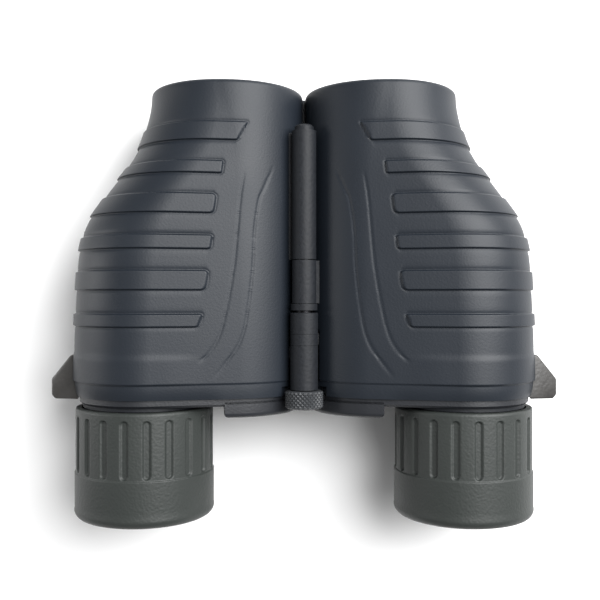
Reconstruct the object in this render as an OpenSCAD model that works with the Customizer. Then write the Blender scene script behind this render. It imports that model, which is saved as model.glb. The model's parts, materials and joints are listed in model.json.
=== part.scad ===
// Compact reverse-Porro binoculars, opened flat and lying on their underside.
// +X runs from the left barrel to the right one, +Y towards the objectives and +Z up.
// The origin is under the middle of the whole object. All sizes are in millimetres.
// Every barrel part is drawn on the right (+X) side, and mirrored for the left barrel.

/* [Layout] */
// Spacing of the two eyepiece axes, barrels open flat
eye_spacing = 72; // [70:0.5:88]
// Height of the eyepiece axes above the objective axes
eye_lift = 4; // [2:0.5:5]
// Gap between the two barrels where they come closest
barrel_gap = 0.6; // [0.4:0.1:3]
// Distance from the middle of the length to the front rims
front_reach = 47.6; // [45:0.2:58]
// Distance from the middle of the length back to the rear edge of the armour
armour_back = 20.7; // [20:0.1:26]
// How deep the underside is cut flat, so that the barrels rest on it
rest_flat = 0.2; // [0.1:0.1:0.6]

/* [Barrels] */
// Half width of the objective tube over the armour
tube_half_width = 17.3; // [16.8:0.1:21]
// Half height of the objective tube over the armour
tube_half_height = 16; // [15.8:0.1:20]
// Radius of the eyepiece lobe over the armour
lobe_radius = 16; // [15.9:0.1:19.5]
// Distance in front of the middle where the shoulder starts to flare out
flare_front = 45; // [40:1:46]
// Distance in front of the middle where the shoulder reaches full width
flare_back = 7; // [0:1:14]
// Thickness of the rubber armour
armour_wall = 1.2; // [0.9:0.05:1.5]
// Thickness of the housing wall
housing_wall = 1.15; // [0.9:0.05:1.4]
// How far the armour's front lip laps over the housing
lip = 1; // [0.6:0.1:1.6]

/* [Objectives] */
// Clear aperture of the objectives
aperture = 25; // [21:0.5:25]
// Width of the seat between the aperture and the lens edge
lens_seat = 0.5; // [0.3:0.1:0.7]
// Distance of the front of the lens behind the front rim
lens_recess = 5.6; // [4:0.2:8]
// Edge thickness of the objective lens
lens_edge = 2.4; // [1.8:0.1:3.4]
// Height of the domed faces of the lenses
dome = 1.1; // [0.6:0.1:1.6]
// Width of the objective retaining ring along the axis
retainer_len = 1.8; // [1:0.1:2.4]

/* [Prisms] */
// Half width of the prism faces
prism_half = 3.8; // [3:0.1:4.5]
// Gap between the rear prism and the sliding eyepiece
prism_room = 2.8; // [1:0.1:4]
// Thickness of the prism plate
plate_thick = 1.6; // [1.2:0.1:2.4]

/* [Rear cover] */
// How far the rear cover stands out behind the armour, round the eyepiece
cover_show = 1.7; // [1:0.1:2.4]
// How far the cover's inner boss stands out behind the armour
boss_show = 3.8; // [2.6:0.1:5]
// How deep the cover reaches in front of the armour's rear edge
cover_depth = 1.7; // [1:0.1:2.4]
// Radius of the cover screws
screw_radius = 0.8; // [0.6:0.05:1]

/* [Eyepieces] */
// Outer radius of the sliding eyepiece carrier
carrier_radius = 13.6; // [12.6:0.1:13.6]
// Outer radius of the neck that carries the eyecup
neck_radius = 12.5; // [11.8:0.1:12.6]
// Outer radius of the lens cell
cell_radius = 10.95; // [10:0.05:11.2]
// Wall of the lens cell
cell_wall = 0.9; // [0.7:0.05:1.2]
// Width of the dark collar that shows between the cover and the eyecup
collar_show = 0.8; // [0.6:0.1:2]
// Length of the eyecup
cup_len = 24.4; // [20:0.2:30]
// Outer radius of the eyecup at its front end
cup_front_radius = 15.3; // [15:0.1:16]
// Outer radius of the eyecup at its rear rim
cup_rear_radius = 15.6; // [15:0.1:16.5]
// Wall of the guide sleeve under the eyecup
sleeve_wall = 1.2; // [0.9:0.1:1.4]
// Inner radius of the eyecup's rear lip
cup_mouth = 11.8; // [10:0.1:12]
// Number of grip slots round the eyecup
cup_slots = 20; // [12:1:24]
// Width of a grip slot
slot_width = 1.7; // [1:0.1:2]
// Length of a grip slot
slot_len = 12.4; // [8:0.2:15]
// Depth of a grip slot
slot_depth = 0.5; // [0.3:0.05:0.6]

/* [Hinge and focus] */
// Radius of the two hinge knuckles
knuckle_radius = 2.65; // [2.4:0.05:2.9]
// Radius of the hinge pin
pin_radius = 1.9; // [1.6:0.05:2]
// Radius of the focus bridge tube
bridge_radius = 3; // [2.9:0.05:3.6]
// Extra distance from the bridge tube to the barrels
hinge_gap = 0.3; // [0.2:0.05:0.8]
// Length of the front knuckle, which belongs to the left barrel
front_knuckle = 28.2; // [24:0.2:32]
// Length of the rear knuckle, which belongs to the right barrel
rear_knuckle = 9.4; // [8:0.2:12]
// Distance from the middle back to the rear end of the knuckles
knuckle_back = 0.3; // [0:0.1:1]
// Radius of the knurled focus knob
knob_radius = 4.2; // [4:0.1:5]
// Length of the knurled focus knob
knob_len = 3.9; // [3:0.1:5]
// Number of flutes round the focus knob
knob_flutes = 24; // [16:1:30]
// Radius of the focus screw
screw_rod = 1.2; // [1:0.05:1.3]
// Thickness of the two bridge arms along the axis
arm_thick = 2.4; // [2:0.1:2.8]
// Height of the two bridge arms
arm_high = 3.6; // [3:0.1:4]
// Full travel of the eyepieces back from the rest position
focus_travel = 4.5; // [3:0.1:5]

/* [Strap lugs] */
// How far a lug stands out from the armour
lug_reach = 3.8; // [3.6:0.1:6]
// Length of a lug along the barrel
lug_len = 9.2; // [8:0.1:12]
// Height of a lug
lug_high = 12; // [9:0.5:14]
// Width of the strap slot across the lug
strap_gap = 2.2; // [1.8:0.1:2.6]

/* [Fits] */
// Radial clearance of a part that slides or turns on another
running = 0.05; // [0.03:0.01:0.08]
// Gap between seated parts that don't move on each other
seat = 0.05; // [0.02:0.01:0.1]
// Gap kept between parts that pass each other
pass = 0.3; // [0.2:0.05:0.5]

/* [Hidden] */
ring_points = 48;               // points round a barrel outline
$fn = 64;
obj_x = tube_half_width + barrel_gap / 2;
axis_z = tube_half_height - rest_flat;
eye_x = eye_spacing / 2;
eye_z = axis_z + eye_lift;
hinge_z = axis_z + sqrt(pow(tube_half_width + bridge_radius + hinge_gap, 2) - pow(obj_x, 2));

housing_inset = armour_wall + seat;
chamber_inset = housing_inset + housing_wall;
housing_front = front_reach - lip - seat;
cover_front = -armour_back + cover_depth;      // where the cover seats on the housing
cover_rear = -armour_back - cover_show;
boss_rear = -armour_back - boss_show;
guide_radius = carrier_radius + running;

aperture_radius = aperture / 2;
lens_radius = aperture_radius + lens_seat;
bore_radius = lens_radius + seat;
lens_front = front_reach - lens_recess;
lens_back = lens_front - lens_edge;

// A Porro pair folds the beam twice, at right angles, from one axis to the other.
fold = norm([eye_x - obj_x, eye_lift]) / sqrt(2);
fold_tilt = atan2(eye_lift, eye_x - obj_x);
mid_beam = [obj_x + fold * cos(fold_tilt + 45), axis_z + fold * sin(fold_tilt + 45)];
carrier_front = -8;
plate_back = carrier_front + prism_room + fold + seat;
plate_front = plate_back + plate_thick;
prism_hump = prism_half + chamber_inset + seat;  // the outline keeps this far from the folded beam

collar_rear = cover_rear - collar_show;        // rear face of the dark collar
cup_front = collar_rear - 0.1;
cup_rear = cup_front - cup_len;
cup_floor = cup_rear + 2.6;                    // inner face of the rear lip
cup_bore = neck_radius + running + sleeve_wall + running;
neck_rear = cup_floor + 0.6;
diopter_front = cover_front + 0.5;             // front face of the diopter ring

front_knuckle_at = [rear_knuckle - knuckle_back + 0.2, front_knuckle + rear_knuckle - knuckle_back];
rear_knuckle_at = [-knuckle_back, rear_knuckle - knuckle_back];
arm_back = -9.4;                               // rear face of the right arm
arm_step = arm_thick + 0.6;                    // the left arm sits this far behind
arm_low = hinge_z - bridge_radius - 2.6;
arm_slot = [arm_back - arm_step - focus_travel - 0.5, arm_back + arm_thick + 0.8];
bridge_neck = pin_radius + 0.45;
bridge_rear = -armour_back + 2.2;
knob_front = bridge_rear - 0.8;
knob_rear = knob_front - knob_len;
knob_relief = knob_radius + 0.5;
web_low = hinge_z - 3.9;
web_high = 2.3;
web_reach = 6;                                 // how far a web runs into its housing
collar_front = rear_knuckle_at[0] - 2;         // front end of the bridge

post_radius = 2;
post_len = 7;
screw_head = 1.9 * screw_radius;
boss_wall = 1.2;
post_in = chamber_inset + 1.3;                  // each post grows out of the housing's wall
posts = [for (a = [230, 105.6, 304])
  [obj_x + (tube_half_width - post_in) * cos(a), axis_z + (tube_half_height - post_in) * sin(a)]];

lug_rear = -armour_back - 0.8;
lug_z = eye_z - 1;

rubber = "#3d4249";
plastic = "#2f3338";
grip = "#565b58";
metal = "#8c8f93";
glass = "#a8c6d8";
seal = "#1c1c1e";

// ---- shared shapes ----

// A cylinder or tube along Y, from y0 to y1, round the axis at (x, z)
module rod(x, z, y0, y1, r) {
  translate([x, y0, z]) rotate([-90, 0, 0]) cylinder(h = y1 - y0, r = r);
}

module tube(x, z, y0, y1, outer, inner) {
  difference() {
    rod(x, z, y0, y1, outer);
    rod(x, z, y0 - 1, y1 + 1, inner);
  }
}

// A flat shape drawn in X and Z, run along Y from y0 to y1
module run(y0, y1) {
  translate([0, y1, 0]) rotate([90, 0, 0]) linear_extrude(y1 - y0) children();
}

// A turned shape: points are [radius, y], round the axis at (x, z)
module turned(x, z, points) {
  translate([x, 0, z]) rotate([-90, 0, 0]) rotate_extrude() polygon(points);
}

function smooth(t) = let (c = max(0, min(1, t))) c * c * (3 - 2 * c);
function flare(y) = smooth((flare_front - y) / (flare_front - flare_back));
function lobe_x(y) = let (start = obj_x + tube_half_width - lobe_radius) start + (eye_x - start) * flare(y);
function lobe_z(y) = axis_z + eye_lift * flare(y);
function hump_at(y) = let (axis = [obj_x, axis_z])
  axis + (mid_beam - axis) * smooth((flare_front - y) / (flare_front - plate_front - fold / 2));

// The point of the barrel's outline at y whose outward normal is at angle a, drawn in by inset:
// the outline is a flattened tube and a round lobe with flats between them, and it leaves room
// for the prisms where they stand higher than both.
function outline(y, a, inset) =
  let (w = tube_half_width - inset, h = tube_half_height - inset, r = lobe_radius - inset,
       n = [cos(a), sin(a)],
       k = norm([w * n[0], h * n[1]]),
       on_tube = [obj_x + w * w * n[0] / k, axis_z + h * h * n[1] / k],
       on_lobe = [lobe_x(y), lobe_z(y)] + r * n,
       on_hump = hump_at(y) + (prism_hump - inset) * n,
       reach = max(on_tube * n, on_lobe * n, on_hump * n),
       p = on_tube * n == reach ? on_tube : on_lobe * n == reach ? on_lobe : on_hump)
  [p[0], max(p[1], inset)];

module outline_shape(y, inset) {
  polygon([for (i = [0 : ring_points - 1]) outline(y, i * 360 / ring_points, inset)]);
}

// A solid through the outline at each of ys, from front to rear, with its own inset at each
module loft(ys, insets) {
  n = ring_points;
  m = len(ys);
  points = [for (j = [0 : m - 1], i = [0 : n - 1])
    let (p = outline(ys[j], i * 360 / n, insets[j])) [p[0], ys[j], p[1]]];
  sides = [for (j = [0 : m - 2], i = [0 : n - 1])
    let (a = j * n + i, b = j * n + (i + 1) % n) each [[a, b + n, b], [a, a + n, b + n]]];
  front = [for (i = [0 : n - 1]) i];
  rear = [for (i = [n - 1 : -1 : 0]) (m - 1) * n + i];
  polyhedron(points, concat(sides, [front, rear]));
}

// Stations along the flare, where the outline changes, from y_front down to flare_back
flare_steps = 10;
function stations(y_front) =
  [y_front, for (i = [0 : flare_steps]) let (y = flare_front + (flare_back - flare_front) * i / flare_steps)
    if (y < y_front - 0.5) y];

module barrel(y_front, y_rear, inset) {
  ys = concat(stations(y_front), [y_rear]);
  loft(ys, [for (y = ys) inset]);
}

// ---- barrel shells ----

module armour() {
  edge = [front_reach, front_reach - 0.35, front_reach - 1];
  ys = concat(edge, stations(front_reach - 1.5), [-armour_back]);
  insets = [for (y = ys) y > front_reach - 0.1 ? 1 : y > front_reach - 0.9 ? 0.35 : 0];
  difference() {
    loft(ys, insets);
    barrel(front_reach - lip, -armour_back - 1, armour_wall);
    rod(obj_x, axis_z, front_reach - lip - 1, front_reach + 1, bore_radius + seat);
    hinge_clearance(seat);
    arm_window(seat);
    rod(0, hinge_z, -armour_back - 1, knob_front + 0.6, knob_relief + 0.2);
    lug_footprint(seat);
  }
}

// Room in the armour for the web that joins a knuckle to its housing
module hinge_clearance(gap) {
  translate([-1, rear_knuckle_at[0] - gap - pass, web_low - gap])
    cube([web_reach + 1.4, front_knuckle_at[1] - rear_knuckle_at[0] + 2 * (gap + pass), web_high + 2 * gap]);
}

// The window through the barrel's inner wall that the bridge arm slides in
module arm_window(gap) {
  translate([-1, arm_slot[0] - gap, arm_low - pass - gap])
    cube([obj_x - 8, arm_slot[1] - arm_slot[0] + 2 * gap, arm_high + 2 * (pass + gap)]);
}

module housing(knuckle_at) {
  difference() {
    union() {
      difference() {
        barrel(housing_front, cover_front, housing_inset);
        barrel(lens_back - 1.6, cover_front - 1, chamber_inset);
      }
      for (p = posts) rod(p[0], p[1], cover_front, cover_front + post_len, post_radius);
      translate([0, knuckle_at[0], web_low]) cube([web_reach, knuckle_at[1] - knuckle_at[0], web_high]);
      rod(0, hinge_z, knuckle_at[0], knuckle_at[1], knuckle_radius);
    }
    rod(obj_x, axis_z, lens_back, front_reach + 1, bore_radius);
    rod(obj_x, axis_z, lens_back - 3, lens_back + 1, aperture_radius);
    rod(eye_x, eye_z, cover_front - 1, carrier_front + 1.2, guide_radius);
    rod(0, hinge_z, knuckle_at[0] - 1, knuckle_at[1] + 1, pin_radius + running);
    arm_window(0);
    for (p = posts) rod(p[0], p[1], cover_front - 1, cover_front + post_len - 1, screw_radius + seat);
  }
}

module rear_cover() {
  boss_in = 5.4;                 // how far the boss reaches in from the objective axis
  difference() {
    union() {
      run(cover_rear, cover_front - seat) outline_shape(cover_rear, housing_inset);
      run(boss_rear, cover_rear + 0.5) intersection() {
        outline_shape(cover_rear, housing_inset);
        square([obj_x - 0.5, axis_z * 2 + 4]);
      }
    }
    rod(eye_x, eye_z, cover_rear - 1, cover_front + 1, guide_radius);
    run(boss_rear + boss_wall, cover_front + 1) intersection() {
      outline_shape(cover_rear, chamber_inset);
      translate([obj_x - boss_in, axis_z - 6]) square([boss_in - 0.5 - boss_wall, 12]);
    }
    rod(0, hinge_z, boss_rear - 1, cover_front + 1, knob_relief);
    for (i = [0 : 2]) {
      rear = screw_seat(i);
      rod(posts[i][0], posts[i][1], rear - 1, cover_front + 1, screw_radius + seat);
      rod(posts[i][0], posts[i][1], rear - 1, rear + 1.1, screw_head + 2 * seat);
    }
  }
}

// The outer face that cover screw i is sunk in: the first two are in the boss
function screw_seat(i) = i < 2 ? boss_rear : cover_rear;

module cover_screws() {
  for (i = [0 : 2]) {
    rear = screw_seat(i);
    difference() {
      union() {
        rod(posts[i][0], posts[i][1], rear + 1, cover_front + post_len - 1.6, screw_radius);
        rod(posts[i][0], posts[i][1], rear + 0.1, rear + 1, screw_head);
      }
      for (a = [0, 90]) translate([posts[i][0], rear + 0.1, posts[i][1]]) rotate([0, a, 0])
        cube([2.2 * screw_radius, 0.9, 0.35], center = true);
    }
  }
}

// The lug's outline from above: a wedge that rises to a short flat end
function lug_edge() = eye_x + lobe_radius;
module lug_plan(inner) {
  tip = lug_edge() + lug_reach;
  front = lug_rear + lug_len;
  polygon([[inner, front + 0.6], [lug_edge() - 0.4, front + 0.6], [tip, lug_rear + 4.6],
           [tip, lug_rear + 1], [tip - 0.9, lug_rear], [inner, lug_rear]]);
}

module strap_lug() {
  difference() {
    translate([0, 0, lug_z - lug_high / 2]) linear_extrude(lug_high) lug_plan(eye_x + 11);
    rod(eye_x, eye_z, lug_rear - 1, lug_rear + lug_len + 2, lobe_radius - housing_inset + seat);
    translate([lug_edge() + 0.5, lug_rear - 1, lug_z - lug_high / 2 + 1.6])
      cube([strap_gap, lug_len + 4, lug_high - 3.2]);
  }
}

module lug_footprint(gap) {
  translate([eye_x + 8, lug_rear - gap, lug_z - lug_high / 2 - gap])
    cube([lobe_radius, lug_len + 0.6 + 2 * gap, lug_high + 2 * gap]);
}

// ---- objectives and prisms ----

module objective_lens() {
  dome_points = [for (i = [0 : 8]) let (t = i / 8) [lens_radius * t, lens_front + dome * (1 - t * t)]];
  turned(obj_x, axis_z, concat(dome_points, [[lens_radius, lens_back], [0, lens_back]]));
}

module objective_seal() {
  turned(obj_x, axis_z, [for (i = [0 : 15]) let (a = i * 22.5)
    [lens_radius - 0.45 + 0.4 * cos(a), lens_front + 0.5 + 0.4 * sin(a)]]);
}

module objective_ring() {
  y = lens_front + 1;
  difference() {
    turned(obj_x, axis_z, [[aperture_radius, y], [lens_radius, y], [lens_radius, y + retainer_len],
      [aperture_radius + 0.3, y + retainer_len], [aperture_radius, y + retainer_len - 0.3]]);
    for (a = [0, 90]) translate([obj_x, y + retainer_len, axis_z]) rotate([0, a, 0])
      cube([3 * lens_radius, 1, 1.2], center = true);
  }
}

// A right-angled prism with round ends: its long face joins the two beams that it folds,
// and its roof edge points along side (1 is forwards, -1 is backwards).
module prism(from, to, y, side) {
  mid = (from + to) / 2;
  length = norm(to - from);
  turn = atan2(to[1] - from[1], to[0] - from[0]);
  translate([mid[0], y, mid[1]]) rotate([0, -turn, 0]) intersection() {
    translate([0, 0, -prism_half - 1]) linear_extrude(2 * prism_half + 2)
      polygon([[-length, 0], [length, 0], [0, side * length]]);
    union() {
      for (s = [-1, 1]) translate([s * length / 2, -1.5 * length, 0]) rotate([-90, 0, 0])
        cylinder(h = 3 * length, r = prism_half);
      translate([-length / 2, -1.5 * length, -prism_half]) cube([length, 3 * length, 2 * prism_half]);
    }
  }
}

module rear_prism() { prism([obj_x, axis_z], mid_beam, plate_back - seat, -1); }
module front_prism() { prism(mid_beam, [eye_x, eye_z], plate_front + seat, 1); }

module prism_plate() {
  difference() {
    intersection() {
      barrel(lens_back - 1.6, cover_front - 1, chamber_inset + seat);
      translate([0, plate_back, -1]) cube([3 * eye_x, plate_thick, 4 * axis_z]);
    }
    for (p = [[obj_x, axis_z], mid_beam, [eye_x, eye_z]])
      rod(p[0], p[1], plate_back - 1, plate_front + 1, prism_half - 0.6);
  }
}

// ---- eyepieces ----

// The carrier slides in the housing and the cover; its arm reaches in to the focus bridge.
module eyepiece_carrier(body_rear, arm_rear) {
  difference() {
    union() {
      rod(eye_x, eye_z, body_rear, carrier_front, carrier_radius);
      rod(eye_x, eye_z, neck_rear, body_rear + 1, neck_radius);
      translate([0, arm_rear, arm_low]) cube([eye_x - neck_radius, arm_thick, arm_high]);
      rod(0, hinge_z, arm_rear, arm_rear + arm_thick, bridge_radius);
    }
    rod(eye_x, eye_z, neck_rear - 1, carrier_front + 1, cell_radius + running);
    rod(0, hinge_z, arm_rear - 1, arm_rear + arm_thick + 1, bridge_neck + running);
  }
}

module lens_cell() {
  tube(eye_x, eye_z, neck_rear + 0.7, carrier_front - 3, cell_radius, cell_radius - cell_wall);
}

module eyepiece_lens(y, edge) {
  r = cell_radius - cell_wall - seat;
  front = [for (i = [0 : 6]) let (t = i / 6) [r * t, y + edge / 2 + dome * (1 - t * t)]];
  back = [for (i = [6 : -1 : 0]) let (t = i / 6) [r * t, y - edge / 2 - dome * (1 - t * t)]];
  turned(eye_x, eye_z, concat(front, back));
}

module field_lens() { eyepiece_lens(carrier_front - 6, 1.8); }
module eye_lens() { eyepiece_lens(neck_rear + 5.4, 2.2); }

module lens_retainer() {
  r = cell_radius - cell_wall - seat;
  tube(eye_x, eye_z, neck_rear + 1, neck_rear + 2.8, r, r - 1.2);
}

module diopter_ring() {
  tube(eye_x, eye_z, collar_rear, diopter_front - running, carrier_radius, neck_radius + running);
}

module cup_sleeve() {
  inner = neck_radius + running;
  tube(eye_x, eye_z, cup_floor + 0.1, cup_front - 0.8, inner + sleeve_wall, inner);
}

module eyecup() {
  rim = 1.8;
  band = cup_front - 13.6;       // where the smooth rear band starts
  wall_points = [[cup_bore, cup_front], [cup_front_radius - 0.4, cup_front],
    [cup_front_radius, cup_front - 0.4], [cup_front_radius, band], [cup_front_radius + 0.15, band - 0.2],
    for (i = [0 : 6]) let (a = 15 * i)
      [cup_rear_radius - rim + rim * cos(a), cup_rear + rim - rim * sin(a)],
    [cup_mouth + 0.6, cup_rear], [cup_mouth, cup_rear + 0.6], [cup_mouth, cup_floor], [cup_bore, cup_floor]];
  difference() {
    turned(eye_x, eye_z, wall_points);
    for (i = [0 : cup_slots - 1]) translate([eye_x, 0, eye_z]) rotate([0, i * 360 / cup_slots, 0])
      grip_slot();
  }
}

// One grip slot with round ends, sunk in the wall on the +Z side of the eyepiece axis
module grip_slot() {
  half = slot_len / 2 - slot_width / 2;
  centre = cup_front - 1.6 - slot_len / 2;
  translate([0, centre, cup_front_radius - slot_depth]) {
    translate([-slot_width / 2, -half, 0]) cube([slot_width, 2 * half, 2]);
    for (s = [-1, 1]) translate([0, s * half, 0]) cylinder(h = 2, r = slot_width / 2, $fn = 24);
  }
}

// ---- hinge and focus ----

module hinge_pin() {
  color(metal) tube(0, hinge_z, bridge_rear + 2.4, front_knuckle_at[1], pin_radius, screw_rod + running);
}

module hinge_front_cap() {
  color(seal) turned(0, hinge_z, [[0, front_knuckle_at[1] + 0.05], [2.1, front_knuckle_at[1] + 0.05],
    [2.1, front_knuckle_at[1] + 0.9], [1.7, front_knuckle_at[1] + 1.3], [0, front_knuckle_at[1] + 1.3]]);
}

module hinge_collar() {
  color(plastic) tube(0, hinge_z, rear_knuckle_at[0] - 1.5, rear_knuckle_at[0] - 0.1, bridge_radius - 0.1,
       pin_radius + seat);
}

module bridge_collar() {
  color(plastic) tube(0, hinge_z, arm_back + arm_thick + 0.1, collar_front, bridge_radius - 0.1, bridge_neck + seat);
}

module arm_washer() {
  color(metal) tube(0, hinge_z, arm_back - 0.5, arm_back - 0.1, bridge_radius, bridge_neck + seat);
}

module bridge_tube() {
  shoulder = arm_back - arm_step - 0.1;
  color(plastic) difference() {
    union() {
      rod(0, hinge_z, bridge_rear, shoulder, bridge_radius);
      rod(0, hinge_z, bridge_rear, collar_front, bridge_neck);
    }
    rod(0, hinge_z, bridge_rear + 1.6, collar_front + 1, pin_radius + running);
    rod(0, hinge_z, bridge_rear - 1, bridge_rear + 2, screw_rod + running);
  }
}

module focus_screw() {
  color(metal) rod(0, hinge_z, knob_front - 1.2, rear_knuckle_at[0], screw_rod);
}

module focus_knob() {
  edge = 0.35;
  color(plastic) difference() {
    turned(0, hinge_z, [[screw_rod + seat, knob_front], [knob_radius - edge, knob_front],
      [knob_radius, knob_front - edge], [knob_radius, knob_rear + edge], [knob_radius - edge, knob_rear],
      [0, knob_rear], [0, knob_front - 1.3], [screw_rod + seat, knob_front - 1.3]]);
    for (i = [0 : knob_flutes - 1]) translate([0, 0, hinge_z]) rotate([0, i * 360 / knob_flutes, 0])
      rod(0, knob_radius + 0.1, knob_rear - 1, knob_front + 1, 0.3, $fn = 16);
  }
}

// ---- colours and the two sides ----

module left() { mirror([1, 0, 0]) children(); }

module left_housing() { color(plastic) left() housing(front_knuckle_at); }
module left_armour() { color(rubber) left() armour(); }
module left_objective_ring() { color(metal) left() objective_ring(); }
module left_objective_lens() { color(glass) left() objective_lens(); }
module left_objective_seal() { color(seal) left() objective_seal(); }
module left_front_prism() { color(glass) left() front_prism(); }
module left_rear_prism() { color(glass) left() rear_prism(); }
module left_prism_plate() { color(metal) left() prism_plate(); }
module left_rear_cover() { color(plastic) left() rear_cover(); }
module left_cover_screws() { color(metal) left() cover_screws(); }
module left_strap_lug() { color(grip) left() strap_lug(); }
module left_eyepiece_carrier() { color(plastic) left() eyepiece_carrier(collar_rear, arm_back - arm_step); }
module left_lens_cell() { color(metal) left() lens_cell(); }
module left_field_lens() { color(glass) left() field_lens(); }
module left_eye_lens() { color(glass) left() eye_lens(); }
module left_lens_retainer() { color(metal) left() lens_retainer(); }
module left_cup_sleeve() { color(plastic) left() cup_sleeve(); }
module left_eyecup() { color(grip) left() eyecup(); }

module right_housing() { color(plastic) housing(rear_knuckle_at); }
module right_armour() { color(rubber) armour(); }
module right_objective_ring() { color(metal) objective_ring(); }
module right_objective_lens() { color(glass) objective_lens(); }
module right_objective_seal() { color(seal) objective_seal(); }
module right_front_prism() { color(glass) front_prism(); }
module right_rear_prism() { color(glass) rear_prism(); }
module right_prism_plate() { color(metal) prism_plate(); }
module right_rear_cover() { color(plastic) rear_cover(); }
module right_cover_screws() { color(metal) cover_screws(); }
module right_strap_lug() { color(grip) strap_lug(); }
module right_eyepiece_carrier() { color(plastic) eyepiece_carrier(diopter_front, arm_back); }
module right_diopter_ring() { color(seal) diopter_ring(); }
module right_lens_cell() { color(metal) lens_cell(); }
module right_field_lens() { color(glass) field_lens(); }
module right_eye_lens() { color(glass) eye_lens(); }
module right_lens_retainer() { color(metal) lens_retainer(); }
module right_cup_sleeve() { color(plastic) cup_sleeve(); }
module right_eyecup() { color(grip) eyecup(); }

left_housing();
left_armour();
left_objective_ring();
left_objective_lens();
left_objective_seal();
left_front_prism();
left_rear_prism();
left_prism_plate();
left_rear_cover();
left_cover_screws();
left_strap_lug();
left_eyepiece_carrier();
left_lens_cell();
left_field_lens();
left_eye_lens();
left_lens_retainer();
left_cup_sleeve();
left_eyecup();
right_housing();
right_armour();
right_objective_ring();
right_objective_lens();
right_objective_seal();
right_front_prism();
right_rear_prism();
right_prism_plate();
right_rear_cover();
right_cover_screws();
right_strap_lug();
right_eyepiece_carrier();
right_diopter_ring();
right_lens_cell();
right_field_lens();
right_eye_lens();
right_lens_retainer();
right_cup_sleeve();
right_eyecup();
hinge_pin();
hinge_front_cap();
hinge_collar();
bridge_tube();
bridge_collar();
arm_washer();
focus_screw();
focus_knob();
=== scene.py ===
# Compact reverse-Porro binoculars with rubber armour, opened flat on a pale table.
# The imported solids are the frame: each section finishes them or stands a finer piece in their place.
import json
import math

import bmesh
import bpy
import numpy as np
from mathutils import Matrix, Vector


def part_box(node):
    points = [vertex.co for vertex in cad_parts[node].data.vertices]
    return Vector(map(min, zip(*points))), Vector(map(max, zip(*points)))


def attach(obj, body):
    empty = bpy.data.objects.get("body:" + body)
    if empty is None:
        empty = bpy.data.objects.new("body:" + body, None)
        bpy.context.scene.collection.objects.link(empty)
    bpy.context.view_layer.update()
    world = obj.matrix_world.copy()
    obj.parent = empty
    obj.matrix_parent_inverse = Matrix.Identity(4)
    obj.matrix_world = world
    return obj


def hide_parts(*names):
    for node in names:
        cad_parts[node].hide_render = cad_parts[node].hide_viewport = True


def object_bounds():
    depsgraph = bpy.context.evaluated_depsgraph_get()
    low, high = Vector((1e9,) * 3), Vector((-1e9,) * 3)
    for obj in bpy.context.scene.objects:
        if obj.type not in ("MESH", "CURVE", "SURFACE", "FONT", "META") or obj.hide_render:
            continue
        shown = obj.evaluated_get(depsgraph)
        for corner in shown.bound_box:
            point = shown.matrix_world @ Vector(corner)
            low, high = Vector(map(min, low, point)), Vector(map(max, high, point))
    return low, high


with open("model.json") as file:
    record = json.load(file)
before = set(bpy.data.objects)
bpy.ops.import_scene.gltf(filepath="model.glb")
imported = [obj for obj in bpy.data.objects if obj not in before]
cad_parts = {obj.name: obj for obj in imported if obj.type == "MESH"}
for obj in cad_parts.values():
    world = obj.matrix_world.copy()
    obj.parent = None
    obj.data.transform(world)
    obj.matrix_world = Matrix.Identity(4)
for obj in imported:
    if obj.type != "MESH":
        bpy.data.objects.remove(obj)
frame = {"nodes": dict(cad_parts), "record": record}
cad_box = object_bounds()
nodes = frame["nodes"]
MM = 0.001

# ---- Camera ----
# It looks straight down from a hand's length above the barrels, so the parts that stand nearer to it
# spread outwards.
lens_low, lens_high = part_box("right_objective_lens")
axis_x = (lens_low.x + lens_high.x) / 2
axis_z = (lens_low.z + lens_high.z) / 2
eye_height = 187.1 * MM
eye_off = (-0.9 * MM, 0.43 * MM)      # how far the eye stands from the middle, across and along
camera = bpy.data.objects.new("camera", bpy.data.cameras.new("camera"))
bpy.context.scene.collection.objects.link(camera)
camera.location = (*eye_off, axis_z + eye_height)
camera.data.sensor_width = 36
camera.data.lens = 48.4
camera.data.clip_start = 0.01
bpy.context.scene.camera = camera

# ---- Table ----
# A pale matt painted board, large enough to fill every view.
# It is part of the stage and not of the binoculars.
table_reach = 3.0
table_mesh = bpy.data.meshes.new("table_top")
corners = ((-1, -1), (1, -1), (1, 1), (-1, 1))
table_mesh.from_pydata([(x * table_reach, y * table_reach, 0) for x, y in corners], [], [(0, 1, 2, 3)])
table_top = bpy.data.objects.new("table_top", table_mesh)
bpy.context.scene.collection.objects.link(table_top)
table_paint = bpy.data.materials.new("table_paint")
table_paint.use_nodes = True
table_shader = table_paint.node_tree.nodes["Principled BSDF"]
table_shader.inputs["Base Color"].default_value = (0.95, 0.95, 0.95, 1)
table_shader.inputs["Roughness"].default_value = 0.7
table_shader.inputs["Specular IOR Level"].default_value = 0.1
table_mesh.materials.append(table_paint)

# ---- Lights ----
# A wide softbox high on the right, a low narrow one on the left, and an even pale surround.
# The low one only grazes the left flanks.
def softbox(name, place, aim, width, depth, watts):
    """A rectangular area light at a place, turned to face the aim."""
    light = bpy.data.lights.new(name, "AREA")
    light.shape = "RECTANGLE"
    light.size = width
    light.size_y = depth
    light.energy = watts
    lamp = bpy.data.objects.new(name, light)
    bpy.context.scene.collection.objects.link(lamp)
    lamp.location = place
    direction = lamp.location - aim
    lamp.rotation_euler = direction.to_track_quat("Z", "Y").to_euler()


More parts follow.
